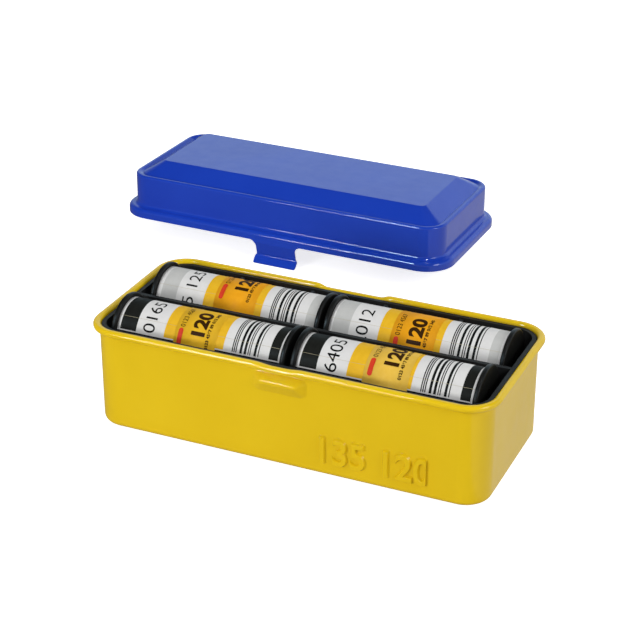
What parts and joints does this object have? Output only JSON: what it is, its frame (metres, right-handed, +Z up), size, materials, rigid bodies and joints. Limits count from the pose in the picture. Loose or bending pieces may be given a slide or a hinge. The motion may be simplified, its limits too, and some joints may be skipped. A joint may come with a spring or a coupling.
{
  "type": "film case",
  "caption": "Open pressed steel film case with a celled liner holding rolls of medium format film, and its lift-off lid standing behind it.",
  "frame": {"origin": "middle of the flat underside of the case", "axes": "+X along the length of the case to the right, +Y to its back, where the lid stands, +Z up"},
  "size_m": [0.2214, 0.2182, 0.044],
  "materials": {
    "yellow_paint": "gloss enamel",
    "blue_paint": "gloss enamel",
    "black_plastic": "satin moulded",
    "spool_plastic": "gloss moulded",
    "film_paper": "printed backing paper",
    "seal_paper": "printed paper"
  },
  "bodies": {
    "case": {"case_shell": "yellow_paint"},
    "liner_tray": {"liner": "black_plastic"},
    "lid_cover": {"lid": "blue_paint"},
    "roll_front_left": {"spool_front_left": "spool_plastic", "wound_film_front_left": "film_paper", "seal_band_front_left": "seal_paper"},
    "roll_front_right": {"spool_front_right": "spool_plastic", "wound_film_front_right": "film_paper", "seal_band_front_right": "seal_paper"},
    "roll_back_left": {"spool_back_left": "spool_plastic", "wound_film_back_left": "film_paper", "seal_band_back_left": "seal_paper"},
    "roll_back_right": {"spool_back_right": "spool_plastic", "wound_film_back_right": "film_paper", "seal_band_back_right": "seal_paper"}
  },
  "joints": [
    {"name": "liner_lift", "type": "slide", "parent": "case", "child": "liner_tray", "axis": [0, 0, 1], "range_m": [0, 0.045]},
    {"name": "lid_lift", "type": "slide", "parent": "case", "child": "lid_cover", "axis": [0, 0, 1], "range_m": [0, 0.1]},
    {"name": "front_left_lift", "type": "slide", "parent": "liner_tray", "child": "roll_front_left", "axis": [0, 0, 1], "range_m": [0, 0.03]},
    {"name": "front_right_lift", "type": "slide", "parent": "liner_tray", "child": "roll_front_right", "axis": [0, 0, 1], "range_m": [0, 0.03]},
    {"name": "back_left_lift", "type": "slide", "parent": "liner_tray", "child": "roll_back_left", "axis": [0, 0, 1], "range_m": [0, 0.03]},
    {"name": "back_right_lift", "type": "slide", "parent": "liner_tray", "child": "roll_back_right", "axis": [0, 0, 1], "range_m": [0, 0.03]}
  ]
}
